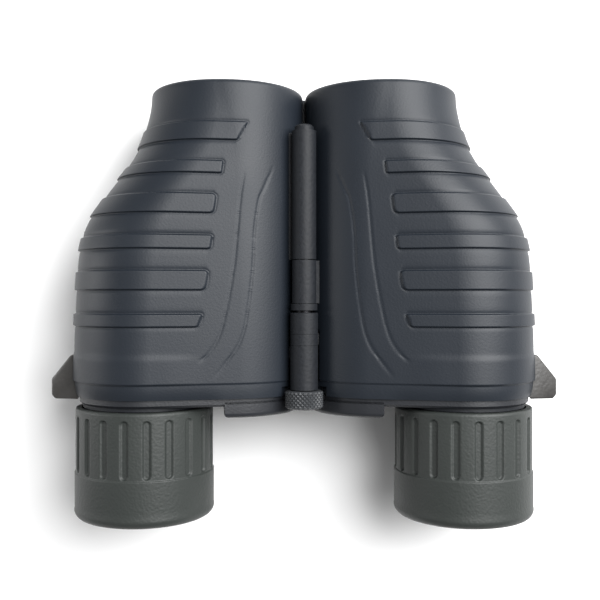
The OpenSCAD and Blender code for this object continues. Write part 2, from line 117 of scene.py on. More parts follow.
aim_at = (cad_box[0] + cad_box[1]) / 2
softbox("right_softbox", place=(0.27, 0.18, 0.42), aim=aim_at, width=0.38, depth=0.50, watts=7.0)
softbox("left_softbox", place=(-0.46, 0.04, 0.06), aim=aim_at, width=0.10, depth=0.45, watts=1.1)
pale_room = bpy.data.worlds.new("pale_room")
pale_room.use_nodes = True
surround = pale_room.node_tree.nodes["Background"]
surround.inputs["Color"].default_value = (1.0, 1.0, 1.0, 1)
surround.inputs["Strength"].default_value = 0.29
bpy.context.scene.world = pale_room
bpy.context.scene.view_settings.view_transform = "Standard"


# ---- Rubber armour ----
# A moulded rubber skin over each barrel: a flattened objective tube that flares into a round eyepiece
# lobe. Six raised grip bands wrap its outer side, two thin swooshes run down its top, and a bevelled
# hem ends it behind.
def new_group(name, sockets):
    """An empty shader node group with its sockets, and its input and output nodes."""
    group = bpy.data.node_groups.new(name, "ShaderNodeTree")
    for socket, way, kind, value in sockets:
        made = group.interface.new_socket(name=socket, in_out=way, socket_type=kind)
        if value is not None:
            made.default_value = value
    return group, group.nodes.new("NodeGroupInput"), group.nodes.new("NodeGroupOutput")


def moulded_grain():
    """Fine pebble of a spark-eroded mould, with slow blotches: a height, and a shade mask."""
    group, given, out = new_group("moulded_grain", [
        ("Grain Scale", "INPUT", "NodeSocketFloat", 1500.0),
        ("Blotch Scale", "INPUT", "NodeSocketFloat", 60.0),
        ("Height", "OUTPUT", "NodeSocketFloat", None),
        ("Blotch", "OUTPUT", "NodeSocketFloat", None)])
    link = group.links.new
    place = group.nodes.new("ShaderNodeTexCoord")
    pebble = group.nodes.new("ShaderNodeTexVoronoi")
    pebble.feature = "SMOOTH_F1"
    fine = group.nodes.new("ShaderNodeTexNoise")
    fine.inputs["Detail"].default_value = 3.0
    blotch = group.nodes.new("ShaderNodeTexNoise")
    blotch.inputs["Detail"].default_value = 4.0
    mix = group.nodes.new("ShaderNodeMath")
    mix.operation = "ADD"
    for texture, scale in ((pebble, "Grain Scale"), (fine, "Grain Scale"), (blotch, "Blotch Scale")):
        link(place.outputs["Object"], texture.inputs["Vector"])
        link(given.outputs[scale], texture.inputs["Scale"])
    link(pebble.outputs["Distance"], mix.inputs[0])
    link(fine.outputs["Fac"], mix.inputs[1])
    link(mix.outputs[0], out.inputs["Height"])
    link(blotch.outputs["Fac"], out.inputs["Blotch"])
    return group


GRAIN = moulded_grain()


def finish_of(name, dark, light, roughness, grain_scale, grain_depth, metallic=0.0, blotch_scale=60.0,
              specular=0.5):
    """A moulded or machined finish: two close colours mottled together over the shared grain."""
    material = bpy.data.materials.new(name)
    material.use_nodes = True
    tree = material.node_tree
    shader = tree.nodes["Principled BSDF"]
    grain = tree.nodes.new("ShaderNodeGroup")
    grain.node_tree = GRAIN
    grain.inputs["Grain Scale"].default_value = grain_scale
    grain.inputs["Blotch Scale"].default_value = blotch_scale
    shade = tree.nodes.new("ShaderNodeMix")
    shade.data_type = "RGBA"
    shade.inputs["A"].default_value = (*dark, 1)
    shade.inputs["B"].default_value = (*light, 1)
    tree.links.new(grain.outputs["Blotch"], shade.inputs["Factor"])
    tree.links.new(shade.outputs["Result"], shader.inputs["Base Color"])
    polish = tree.nodes.new("ShaderNodeMapRange")
    uneven = 0.05
    polish.inputs["To Min"].default_value = roughness - uneven
    polish.inputs["To Max"].default_value = roughness + uneven
    tree.links.new(grain.outputs["Blotch"], polish.inputs["Value"])
    tree.links.new(polish.outputs["Result"], shader.inputs["Roughness"])
    bump = tree.nodes.new("ShaderNodeBump")
    bump.inputs["Distance"].default_value = grain_depth
    bump.inputs["Strength"].default_value = 1.0
    tree.links.new(grain.outputs["Height"], bump.inputs["Height"])
    tree.links.new(bump.outputs["Normal"], shader.inputs["Normal"])
    shader.inputs["Metallic"].default_value = metallic
    shader.inputs["Specular IOR Level"].default_value = specular
    return material


armour_rubber = finish_of(
    "armour_rubber", dark=(0.0070, 0.0100, 0.0150), light=(0.0100, 0.0140, 0.0205), roughness=0.50,
    grain_scale=2400, grain_depth=0.014 * MM, specular=0.38)

cup_low, cup_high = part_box("right_eyecup")
armour_low, armour_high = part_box("right_armour")
eye_x, eye_z = (cup_low.x + cup_high.x) / 2 / MM, (cup_low.z + cup_high.z) / 2 / MM
obj_x, obj_z = axis_x / MM, axis_z / MM
front, back = armour_high.y / MM, armour_low.y / MM
HALF_H = 16.0          # half the height of the objective tube
LOBE = 16.0            # radius of the round side at the eyepiece
WALL = 1.2             # thickness of the rubber
RIM = 1.0              # radius of the front lip
AROUND = 380           # points in one row round the barrel
TOP_CLOSER = 1.2       # how much closer together they are on top
SHARP_EDGE = math.radians(65)
# How far the outer side lies from the middle of the object, at distances along the barrel
SIDE_AT = [-30, -7.5, 1.9, 9.6, 14.4, 17.6, 20.3, 24.4, 27.9, 31.5, 36.0, 42.5, 46.0, 60.0]
SIDE_OUT = [51.8, 51.5, 51.1, 50.7, 49.8, 48.8, 47.1, 44.2, 41.8, 39.2, 37.0, 35.3, 34.9, 34.9]
SIDE_EASED = 2.4       # how far ahead and behind that line is averaged
HALF_W = SIDE_OUT[-1] - obj_x


def step(x, edge, width):
    """0 below the edge, 1 above it, eased over the width."""
    t = np.clip((x - edge) / width + 0.5, 0, 1)
    return t * t * (3 - 2 * t)


def outline(y, inset):
    """Points round the barrel at y, closer together on top, and their outward normals.

    The tube is an oval and the lobe is a circle, and the skin follows whichever reaches further out.
    """
    w, h, r = HALF_W - inset, HALF_H - inset, LOBE - inset
    near = y + np.linspace(-SIDE_EASED, SIDE_EASED, 9)
    lobe_x = np.mean(np.interp(near, SIDE_AT, SIDE_OUT)) - LOBE
    lobe_start = obj_x + HALF_W - LOBE
    lobe_at = np.array([lobe_x, obj_z + (eye_z - obj_z) * (lobe_x - lobe_start) / (eye_x - lobe_start)])
    a = np.linspace(math.pi, -math.pi, 1441)
    n = np.stack([np.cos(a), np.sin(a)], 1)
    k = np.sqrt((w * n[:, 0]) ** 2 + (h * n[:, 1]) ** 2)
    on_tube = np.stack([obj_x + w * w * n[:, 0] / k, obj_z + h * h * n[:, 1] / k], 1)
    on_lobe = lobe_at + r * n
    further = ((on_lobe - on_tube) * n).sum(1) > 0
    p = np.where(further[:, None], on_lobe, on_tube)
    closer = 1 + TOP_CLOSER * step(n[1:, 1], 0.0, 0.2)
    run = np.concatenate([[0], np.cumsum(np.linalg.norm(np.diff(p, axis=0), axis=1) * closer)])
    want = np.linspace(0, run[-1], AROUND, endpoint=False)
    at = np.stack([np.interp(want, run, p[:, i]) for i in (0, 1)], 1)
    normal = np.stack([np.interp(want, run, n[:, i]) for i in (0, 1)], 1)
    normal /= np.linalg.norm(normal, axis=1)[:, None]
    at[:, 1] = np.maximum(at[:, 1], inset)      # flat where it rests on the table
    return at, normal


# Each band: its front and rear edges, where its inner end lies, how far that end slants, corner radius
BANDS = [(38.3, 34.5, 13.2, 2.2, 0.3), (29.9, 27.4, 17.4, 0.3, 0.3), (22.9, 18.9, 18.9, 0.5, 0.9),
         (14.1, 11.3, 19.7, 0.4, 0.5), (6.6, 2.6, 20.6, 0.7, 0.9), (-2.6, -5.2, 22.0, 1.0, 0.5)]
BAND_HIGH, BAND_EDGE = 0.45, 0.24
GROOVE_DEEP, GROOVE_OUT, GROOVE_WIDE = 0.13, 0.28, 0.16       # the fine groove round each band
# Each swoosh: the points that its line passes through, from the front back
SWOOSHES = [[(6.3, 30.2), (8.6, 24.5), (9.7, 21.7), (10.6, 15.0), (10.9, 8.0), (11.7, 0.5), (12.7, -5.6),
             (14.1, -9.4), (16.4, -12.7), (19.3, -16.4)],
            [(12.6, 28.5), (13.6, 22.0), (14.3, 14.0), (14.9, 8.0), (16.2, 0.0), (17.9, -7.0),
             (20.2, -10.9), (22.6, -12.8)]]
SWOOSH_DEEP, SWOOSH_HALF, SWOOSH_EDGE = (0.17, 0.14), 0.24, 0.42
SADDLE, SADDLE_HIGH = -11.6, 0.24      # where the last soft swelling starts, and its height
HEM, HEM_STEP = -17.4, 0.22            # where the bevelled rear hem starts, and how far it steps in
HEM_BEVEL, HEM_SIDE_BEVEL = 0.3, 0.3   # how far it draws in at its end, and how much more outside


def swoosh_distance(x, y, points):
    """Distance from each (x, y) to a smooth line through the points, and how far along the line it is."""
    pts = np.array(points)
    t = np.linspace(0, len(pts) - 1, 160)
    i = np.clip(t.astype(int), 0, len(pts) - 2)
    f = (t - i)[:, None]
    prev, nxt = pts[np.maximum(i - 1, 0)], pts[np.minimum(i + 2, len(pts) - 1)]
    a, b = pts[i], pts[i + 1]
    line = 0.5 * (2 * a + (b - prev) * f + (2 * prev - 5 * a + 4 * b - nxt) * f ** 2
                  + (3 * a - prev - 3 * b + nxt) * f ** 3)
    best = np.full(x.shape, 1e9)
    along = np.zeros(x.shape)
    for j, q in enumerate(line):
        d = np.hypot(x - q[0], y - q[1])
        along = np.where(d < best, j / (len(line) - 1), along)
        best = np.minimum(best, d)
    return best, along


def relief(x, y, z, up):
    """How far the rubber stands out from the plain outline."""
    high = np.zeros_like(x)
    groove = np.zeros_like(x)
    for y1, y0, inner, slant, corner in BANDS:
        half = (y1 - y0) / 2
        mid = (y1 + y0) / 2
        end = inner - slant * (y - mid) / (2 * half)
        dy = np.abs(y - mid) - (half - corner)
        dx = end - x + corner
        d = np.hypot(np.maximum(dx, 0), np.maximum(dy, 0)) + np.minimum(np.maximum(dx, dy), 0) - corner
        high = np.maximum(high, BAND_HIGH * (1 - step(d, 0, BAND_EDGE)))
        groove = np.maximum(groove, GROOVE_DEEP * np.exp(-((d - GROOVE_OUT) / GROOVE_WIDE) ** 2))
    high -= groove
    swell_side, hem_side, on_top = step(x, 25.0, 9.0), step(x, 19.0, 6.0), step(up, 0.2, 0.2)
    swell = swell_side * step(-y, -SADDLE, 1.6)
    high += SADDLE_HIGH * swell * (1 - step(-y, -HEM, 0.5))
    hem = np.clip((HEM - y) / (HEM - back), 0, 1)
    bevel = HEM_BEVEL + HEM_SIDE_BEVEL * hem_side
    high -= step(-y, -HEM, 0.4) * HEM_STEP + bevel * hem ** 2
    for points, depth in zip(SWOOSHES, SWOOSH_DEEP):
        d, along = swoosh_distance(x, y, points)
        fade = step(along, 0.05, 0.1) * (1 - step(along, 0.95, 0.1))
        high -= depth * fade * (1 - step(d, SWOOSH_HALF, SWOOSH_EDGE)) * on_top
    return np.where(high > 0, np.minimum(high, 0.5 * z), high)


def spaced_rows():
    """Rows along the barrel from front to back, close together where an edge needs them."""
    edges = [e for band in BANDS for e in band[:2]] + [HEM, SADDLE]
    middle, fine, coarse = -5, 0.42, 0.85
    rows = list(np.arange(back, middle, fine)) + list(np.arange(middle, front - RIM - 0.3, coarse))
    for e in edges:
        rows = [y for y in rows if abs(y - e) > 0.4]
        rows += [e + d for d in (-0.42, -0.28, -0.16, -0.08, 0, 0.08, 0.16, 0.28, 0.42)]
    return sorted(rows, reverse=True)


def armour_grid():
    """Rows of the whole skin: up its inside, round the front lip, down its outside and in behind."""
    mouth = (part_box("right_objective_ring")[1].x - axis_x) / MM + 0.1
    mouth_chamfer, turned_in = 0.25, 1.15
    shoulder = front - RIM
    at, _ = outline(shoulder, 0)
    turn = np.arctan2(at[:, 1] - obj_z, at[:, 0] - obj_x)

    def circle(r):
        return np.stack([obj_x + r * np.cos(turn), obj_z + r * np.sin(turn)], 1)

    rows = [(y, outline(y, WALL)[0]) for y in np.linspace(back + 0.3, shoulder, 12)]
    rows += [(shoulder, circle(mouth)), (front - mouth_chamfer, circle(mouth)),
             (front, circle(mouth + mouth_chamfer))]
    for a in np.radians(np.linspace(90, 0, 7)):
        rows.append((shoulder + RIM * math.sin(a), outline(shoulder, RIM * (1 - math.cos(a)))[0]))
    for y in spaced_rows():
        at, normal = outline(y, 0)
        out = relief(at[:, 0], np.full(AROUND, y), at[:, 1], normal[:, 1])
        rows.append((y, at + normal * out[:, None]))
    at, normal = outline(back, 0)
    rows.append((back, at - normal * turned_in))
    return rows


def grid_mesh(name, rows, mirror, closed=True):
    """A mesh through rows of points that run round, joined row to row, and last to first if closed."""
    side = -1 if mirror else 1
    verts = [(side * p[0] * MM, y * MM, p[1] * MM) for y, ring in rows for p in ring]
    n = len(rows[0][1])
    m = len(rows)
    faces = []
    for j in range(m if closed else m - 1):
        k = (j + 1) % m
        for i in range(n):
            face = (j * n + i, j * n + (i + 1) % n, k * n + (i + 1) % n, k * n + i)
            faces.append(face if mirror else face[::-1])
    mesh = bpy.data.meshes.new(name)
    mesh.from_pydata(verts, [], faces)
    mesh.shade_smooth()
    piece = bpy.data.objects.new(name, mesh)
    bpy.context.scene.collection.objects.link(piece)
    return piece


def block(low, high):
    """A box between two corners, in millimetres, to cut with."""
    mesh = bpy.data.meshes.new("block")
    shape = bmesh.new()
    bmesh.ops.create_cube(shape, size=1)
    for vert in shape.verts:
        vert.co = [(low[i] + high[i]) / 2 * MM + vert.co[i] * (high[i] - low[i]) * MM for i in range(3)]
    shape.to_mesh(mesh)
    return bpy.data.objects.new("block", mesh)


def drum(x, z, y0, y1, radius):
    """A cylinder along the barrel, in millimetres, to cut with."""
    mesh = bpy.data.meshes.new("drum")
    shape = bmesh.new()
    bmesh.ops.create_cone(shape, cap_ends=True, segments=128, radius1=radius * MM, radius2=radius * MM,
                          depth=(y1 - y0) * MM)
    shape.transform(Matrix.Rotation(math.pi / 2, 4, "X"))
    shape.transform(Matrix.Translation((x * MM, (y0 + y1) / 2 * MM, z * MM)))
    shape.to_mesh(mesh)
    return bpy.data.objects.new("drum", mesh)


def cut_away(piece, cutters):
    """Cut each closed cutter out of the piece, and remove the cutters."""
    for tool in cutters:
        bpy.context.scene.collection.objects.link(tool)
        cut = piece.modifiers.new("cut", "BOOLEAN")
        cut.operation = "DIFFERENCE"
        cut.solver = "EXACT"
        cut.object = tool
    shape = piece.evaluated_get(bpy.context.evaluated_depsgraph_get())
    mesh = bpy.data.meshes.new_from_object(shape)
    piece.modifiers.clear()
    piece.data = mesh
    for tool in cutters:
        bpy.data.objects.remove(tool)


def mirrored(piece, name):
    """A copy of a right-hand piece for the left barrel."""
    mesh = piece.data.copy()
    mesh.transform(Matrix.Scale(-1, 4, (1, 0, 0)))
    mesh.flip_normals()
    twin = bpy.data.objects.new(name, mesh)
    bpy.context.scene.collection.objects.link(twin)
    return twin


pin_low, pin_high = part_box("hinge_pin")
hinge_z = (pin_low.z + pin_high.z) / 2 / MM
past_rear = -30        # clear behind the barrels, where cutters that run out behind start
arm_window = block((-1, -17.5, hinge_z - 6), (8.7, -6.1, hinge_z - 1.6))
knob_relief = drum(0, hinge_z, past_rear, -18.6, 4.9)
armour_piece = grid_mesh("right_rubber_armour", armour_grid(), False)
cut_away(armour_piece, [arm_window, knob_relief])
armour_piece.data.set_sharp_from_angle(angle=SHARP_EDGE)
for piece, side in ((armour_piece, "right"), (mirrored(armour_piece, "left_rubber_armour"), "left")):
    piece.data.materials.clear()
    piece.data.materials.append(armour_rubber)
    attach(piece, f"{side}_barrel")
    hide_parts(f"{side}_armour")

# ---- Eyecups ----
# Each rubber cup has twenty shallow grip slots with round ends round its front half, a slightly proud
# smooth band behind them, and a full round lip at the eye.
cup_rubber = finish_of(
    "cup_rubber", dark=(0.021, 0.025, 0.023), light=(0.028, 0.032, 0.030), roughness=0.52,
    grain_scale=1800, grain_depth=0.04 * MM, specular=0.40)
CUP_AROUND = 480
cup_front, cup_rear = cup_high.y / MM, cup_low.y / MM
SLOTS, SLOT_HALF, SLOT_DEPTH = 20, 0.85, 0.5
SLOT_FRONT, SLOT_REAR = cup_front - 1.6, cup_front - 14.0
CUP_SMALL, CUP_LARGE, CUP_MOUTH, CUP_BORE = 15.25, 15.55, 11.8, 13.9
CUP_FLOOR, LIP, MOUTH_ROUND, PROUD = 2.6, 1.9, 0.8, 0.22
CUP_TURNED = {"left": 11.9, "right": 16.6}


def slot_relief(angle, y, turned):
    """How deep a grip slot is at each angle round a cup that is turned by so many degrees."""
    pitch = math.radians(360 / SLOTS)
    off = (angle + math.radians(turned) + pitch / 2) % pitch - pitch / 2
    along = max(y - (SLOT_FRONT - SLOT_HALF), (SLOT_REAR + SLOT_HALF) - y, 0)
    distance = np.hypot(off * CUP_SMALL, along) - SLOT_HALF
    return SLOT_DEPTH * (1 - step(distance, -0.1, 0.35))


def cup_rows(turned):
    """Rows of a whole cup: up its bore, down its slotted outside, round the lip and in to the floor."""
    angle = np.linspace(0, 2 * math.pi, CUP_AROUND, endpoint=False)
    round_it = np.stack([np.sin(angle), np.cos(angle)], 1)

    def ring(radius):
        return np.array([eye_x, eye_z]) + round_it * np.broadcast_to(radius, angle.shape)[:, None]

    rows = [(y, ring(CUP_BORE)) for y in (cup_rear + CUP_FLOOR, cup_front)]
    rows += [(cup_front, ring(CUP_SMALL - 0.35)), (cup_front - 0.12, ring(CUP_SMALL - 0.1))]
    ends = [y + d for y in (SLOT_FRONT, SLOT_REAR) for d in np.arange(-1.0, 1.01, 0.1)]
    plain = [y for y in np.arange(SLOT_REAR - 1.1, cup_front - 0.3, 0.8)
             if min(abs(y - e) for e in ends) > 0.1]
    for y in sorted(ends + plain, reverse=True):
        rear_band = PROUD * step(SLOT_REAR - 0.25 - y, 0.0, 0.25)
        rows.append((y, ring(CUP_SMALL + rear_band - slot_relief(angle, y, turned))))
    for y in np.linspace(SLOT_REAR - 1.5, cup_rear + LIP + 0.4, 6):
        rows.append((y, ring(CUP_SMALL + PROUD)))
    for a in np.radians(np.linspace(0, 90, 9)):
        rows.append((cup_rear + LIP * (1 - math.sin(a)), ring(CUP_LARGE - LIP * (1 - math.cos(a)))))
    for a in np.radians(np.linspace(0, 90, 5)):
        rows.append((cup_rear + MOUTH_ROUND * (1 - math.cos(a)),
                     ring(CUP_MOUTH + MOUTH_ROUND * (1 - math.sin(a)))))
    rows.append((cup_rear + CUP_FLOOR, ring(CUP_MOUTH)))
    return rows


for side, mirror in (("left", True), ("right", False)):
    piece = grid_mesh(f"{side}_grip_cup", cup_rows(CUP_TURNED[side]), mirror)
    piece.data.set_sharp_from_angle(angle=SHARP_EDGE)
    piece.data.materials.append(cup_rubber)
    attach(piece, f"{side}_cup")
    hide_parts(f"{side}_eyecup")

# ---- Finish of the solids that keep their shape ----
# Housings, hinge and bridge are black cast plastic, rings and screws are metal, seals are rubber, and
# the lenses and prisms are clear glass.
cast_plastic = finish_of(
    "cast_plastic", dark=(0.004, 0.005, 0.007), light=(0.012, 0.014, 0.018), roughness=0.6,
    grain_scale=1400, grain_depth=0.04 * MM, blotch_scale=900, specular=0.3)
black_metal = finish_of(
    "black_metal", dark=(0.008, 0.008, 0.009), light=(0.014, 0.014, 0.016), roughness=0.4,
    grain_scale=3000, grain_depth=0.005 * MM, specular=0.6)
bare_metal = finish_of(
    "bare_metal", dark=(0.016, 0.016, 0.018), light=(0.026, 0.026, 0.028), roughness=0.45,
    grain_scale=3000, grain_depth=0.004 * MM, metallic=1.0)
seal_rubber = finish_of(
    "seal_rubber", dark=(0.010, 0.010, 0.011), light=(0.018, 0.018, 0.020), roughness=0.5,
    grain_scale=2500, grain_depth=0.01 * MM)


def lens_glass(name, tint, coat_tint):
    """Clear polished glass whose reflections take the tint of its coating."""
    material = bpy.data.materials.new(name)
    material.use_nodes = True
    shader = material.node_tree.nodes["Principled BSDF"]
    shader.inputs["Base Color"].default_value = (*tint, 1)
    shader.inputs["Roughness"].default_value = 0.02
    shader.inputs["Transmission Weight"].default_value = 1.0
    shader.inputs["IOR"].default_value = 1.52
    shader.inputs["Specular Tint"].default_value = (*coat_tint, 1)
    return material


coated_glass = lens_glass("coated_glass", (0.90, 0.96, 1.0), (0.35, 0.35, 1.0))
prism_glass = lens_glass("prism_glass", (0.95, 0.98, 0.97), (1, 1, 1))
BY_SLOT = {"housing_plastic": cast_plastic, "hinge_plastic": cast_plastic, "black_metal": black_metal,
           "bare_metal": bare_metal, "screw_steel": bare_metal, "seal_rubber": seal_rubber,
           "lug_plastic": cast_plastic, "coated_glass": coated_glass, "prism_glass": prism_glass,
           "armour_rubber": armour_rubber, "cup_rubber": cup_rubber, "knob_metal": cast_plastic}
for part in frame["record"]["subparts"]:
    solid = nodes[part["node"]].data
    solid.materials.clear()
    solid.materials.append(BY_SLOT[part["material_slot"]])

# ---- Rear covers ----
# A moulded cover closes each barrel behind the armour, with a chamfered edge, and its inner boss
# stands out further back and ends in a rounded corner.
cover_low, cover_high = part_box("right_rear_cover")
cover_proud, boss_proud = 1.7, 0.4     # how far they stand out behind the armour and behind the solid
seat_y, cover_y, boss_y = cover_high.y / MM, back - cover_proud, cover_low.y / MM - boss_proud
cover_inset, chamfer = WALL + 0.1, 0.5
boss_round, boss_side = 1.1, obj_x - 0.5
guide_bore, knob_room, past_cover = 13.7, 4.75, -10


def capped_mesh(name, rows):
    """A closed mesh through rows of points, with a flat face at each end."""
    piece = grid_mesh(name, rows, False, closed=False)
    shape = bmesh.new()
    shape.from_mesh(piece.data)
    shape.verts.ensure_lookup_table()
    n = len(rows[0][1])
    shape.faces.new([shape.verts[i] for i in range(n)])
    shape.faces.new([shape.verts[len(shape.verts) - 1 - i] for i in range(n)])
    bmesh.ops.recalc_face_normals(shape, faces=shape.faces[:])
    shape.to_mesh(piece.data)
    return piece


def clipped(y, inset, limit):
    """The barrel's outline at y, drawn in by inset, with a straight side at the limit."""
    at = outline(y, inset)[0]
    past = at[:, 0] > limit
    first, last = np.argmax(past), len(at) - np.argmax(past[::-1])
    heights = np.linspace(at[first - 1, 1], at[last % len(at), 1], last - first + 2)[1:-1]
    straight = np.stack([np.full(last - first, limit), heights], 1)
    return np.concatenate([at[:first], straight, at[last:]])


cover_piece = capped_mesh("right_moulded_cover", [
    (seat_y, outline(cover_y, cover_inset)[0]), (cover_y + chamfer, outline(cover_y, cover_inset)[0]),
    (cover_y, outline(cover_y, cover_inset + chamfer)[0])])
boss_rows = [(cover_y + 1, clipped(cover_y, cover_inset, boss_side))]
for a in np.radians(np.linspace(0, 90, 8)):
    shrink = boss_round * (1 - math.cos(a))
    boss_rows.append((boss_y + boss_round * (1 - math.sin(a)),
                      clipped(cover_y, cover_inset + shrink, boss_side - shrink)))
boss_piece = capped_mesh("right_boss", boss_rows)
cut_away(cover_piece, [drum(eye_x, eye_z, past_rear, past_cover, guide_bore),
                       drum(0, hinge_z, past_rear, past_cover, knob_room)])
cut_away(boss_piece, [drum(0, hinge_z, past_rear, past_cover, knob_room)])
joined = bmesh.new()
joined.from_mesh(cover_piece.data)
joined.from_mesh(boss_piece.data)
joined.to_mesh(cover_piece.data)
bpy.data.objects.remove(boss_piece)
cover_piece.data.shade_smooth()
cover_piece.data.set_sharp_from_angle(angle=math.radians(30))
cover_plastic = finish_of(
    "cover_plastic", dark=(0.009, 0.010, 0.013), light=(0.013, 0.015, 0.019), roughness=0.5,
    grain_scale=2400, grain_depth=0.025 * MM, specular=0.45)
for piece, side in ((cover_piece, "right"), (mirrored(cover_piece, "left_moulded_cover"), "left")):
    piece.data.materials.clear()
    piece.data.materials.append(cover_plastic)
    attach(piece, f"{side}_barrel")
    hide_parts(f"{side}_rear_cover")

# ---- Strap lugs ----
# Each lug is a glass-filled wedge beside the eyepiece, with soft edges, a thinner tip and a tall slot
# for the strap.
lug_low, lug_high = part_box("right_strap_lug")
lug_rear, lug_front, lug_tip = lug_low.y / MM, lug_high.y / MM, lug_high.x / MM + 0.4
lug_mid, lug_half = (lug_low.z + lug_high.z) / 2 / MM, (lug_high.z - lug_low.z) / 2 / MM
lug_root = eye_x + LOBE
lug_sunk, lug_shoulder, lug_tip_long = 3, 0.4, 4.4
lug_thinner, lug_edge, lug_floor = 1.1, 0.45, 1.6
strap_slot = (lug_root + 0.5, lug_root + 2.7)
plan = [(lug_root - lug_sunk, lug_front), (lug_root - lug_shoulder, lug_front),
        (lug_tip, lug_rear + lug_tip_long), (lug_tip, lug_rear + 0.9), (lug_tip - 0.8, lug_rear),
        (lug_root - lug_sunk, lug_rear)]
lug_mesh = bpy.data.meshes.new("right_wedge_lug")
shape = bmesh.new()


def lug_ring(way):
    """The plan's corners on the underside (-1) or the top (1) of the lug, which thins to its tip."""
    corners = []
    for x, y in plan:
        thinner = lug_thinner * max(0, x - lug_root + lug_shoulder) / (lug_tip - lug_root)
        corners.append(shape.verts.new((x * MM, y * MM, (lug_mid + way * (lug_half - thinner)) * MM)))
    return corners


rings = [lug_ring(-1), lug_ring(1)]
for i in range(len(plan)):
    j = (i + 1) % len(plan)
    shape.faces.new((rings[0][i], rings[0][j], rings[1][j], rings[1][i]))
shape.faces.new(rings[0])
shape.faces.new(rings[1][::-1])
bmesh.ops.recalc_face_normals(shape, faces=shape.faces[:])
bmesh.ops.bevel(shape, geom=shape.edges[:], offset=lug_edge * MM, segments=3, profile=0.5, affect="EDGES")
shape.to_mesh(lug_mesh)
lug_piece = bpy.data.objects.new("right_wedge_lug", lug_mesh)
bpy.context.scene.collection.objects.link(lug_piece)
cut_away(lug_piece, [
    block((strap_slot[0], lug_rear - 1, lug_low.z / MM + lug_floor),
          (strap_slot[1], lug_front + 1, lug_high.z / MM - lug_floor)),
    drum(eye_x, eye_z, lug_rear - 1, lug_front + 1, LOBE - WALL)])
lug_piece.data.shade_smooth()
lug_piece.data.set_sharp_from_angle(angle=math.radians(35))
lug_plastic = finish_of(
    "lug_plastic", dark=(0.022, 0.021, 0.020), light=(0.048, 0.046, 0.043), roughness=0.42,
    grain_scale=1600, grain_depth=0.03 * MM, blotch_scale=400)
for piece, side in ((lug_piece, "right"), (mirrored(lug_piece, "left_wedge_lug"), "left")):
    piece.data.materials.clear()
    piece.data.materials.append(lug_plastic)
    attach(piece, f"{side}_barrel")
    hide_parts(f"{side}_strap_lug")

# ---- Focus knob ----
# A small knob with a diamond knurl between two bevelled edges and a shallow dish behind: Geometry
# Nodes stand one low pyramid at every crossing of the knurl.
knob_low, knob_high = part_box("focus_knob")
knob_front, knob_rear = knob_high.y, knob_low.y
knob_radius = (knob_high.x - knob_low.x) / 2
KNURL_AROUND, KNURL_ROWS, KNURL_HIGH = 26, 7, 0.28 * MM
KNURL_TIP = 0.16       # how wide each pyramid is at its tip, against its foot
knurl_metal = finish_of(
    "knurl_metal", dark=(0.018, 0.020, 0.023), light=(0.040, 0.043, 0.047), roughness=0.42,
    grain_scale=3000, grain_depth=0.01 * MM, specular=0.6)


